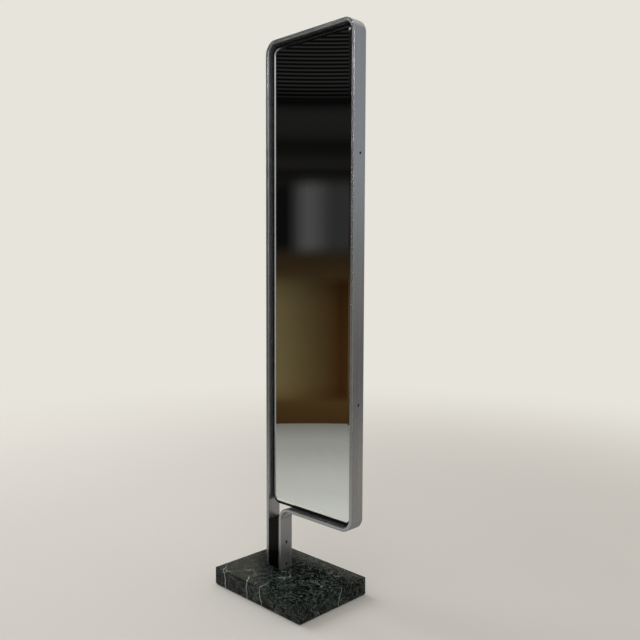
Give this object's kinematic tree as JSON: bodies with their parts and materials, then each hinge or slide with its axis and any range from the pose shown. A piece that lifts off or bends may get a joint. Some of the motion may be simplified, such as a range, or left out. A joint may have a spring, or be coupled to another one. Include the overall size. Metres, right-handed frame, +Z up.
{
  "type": "floor mirror",
  "caption": "Tall free-standing mirror in a bent flat-bar ring whose two legs grip a black core on a heavy polished stone base.",
  "frame": {"origin": "middle of the base's underside, where it rests on the floor", "axes": "+Z up, +X from the post towards the ring's overhang, -Y the way the mirror faces"},
  "size_m": [0.477, 0.29, 1.75],
  "materials": {
    "polished_stone": "polished dark green stone with pale veins",
    "felt": "plain felt",
    "zinc_steel": "zinc plated",
    "mild_steel": "milled",
    "black_lacquer_steel": "satin black lacquer",
    "satin_aluminium": "satin brushed along the bar",
    "black_steel_screw": "blackened",
    "black_board": "black lacquered board",
    "brass_insert": "turned",
    "black_nylon": "matt",
    "rest_pad_rubber": "matt",
    "mounting_tape": "foam tape",
    "silvered_glass": "bevelled mirror"
  },
  "bodies": {
    "root": {"base_slab": "polished_stone", "base_felt": "felt", "base_clamp_plate": "zinc_steel", "base_washers": "zinc_steel", "base_bolts": "zinc_steel", "post_foot_block": "mild_steel", "post_core_tube": "black_lacquer_steel", "post_core_lid": "black_lacquer_steel", "frame_band": "satin_aluminium", "leg_screws_left": "black_steel_screw", "leg_screws_right": "black_steel_screw", "backing_board": "black_board", "board_inserts": "brass_insert", "board_spacers": "black_nylon", "board_rest_pads": "rest_pad_rubber", "panel_screws_left": "black_steel_screw", "panel_screws_right": "black_steel_screw", "mirror_tape": "mounting_tape", "mirror_glass": "silvered_glass"}
  },
  "joints": []
}
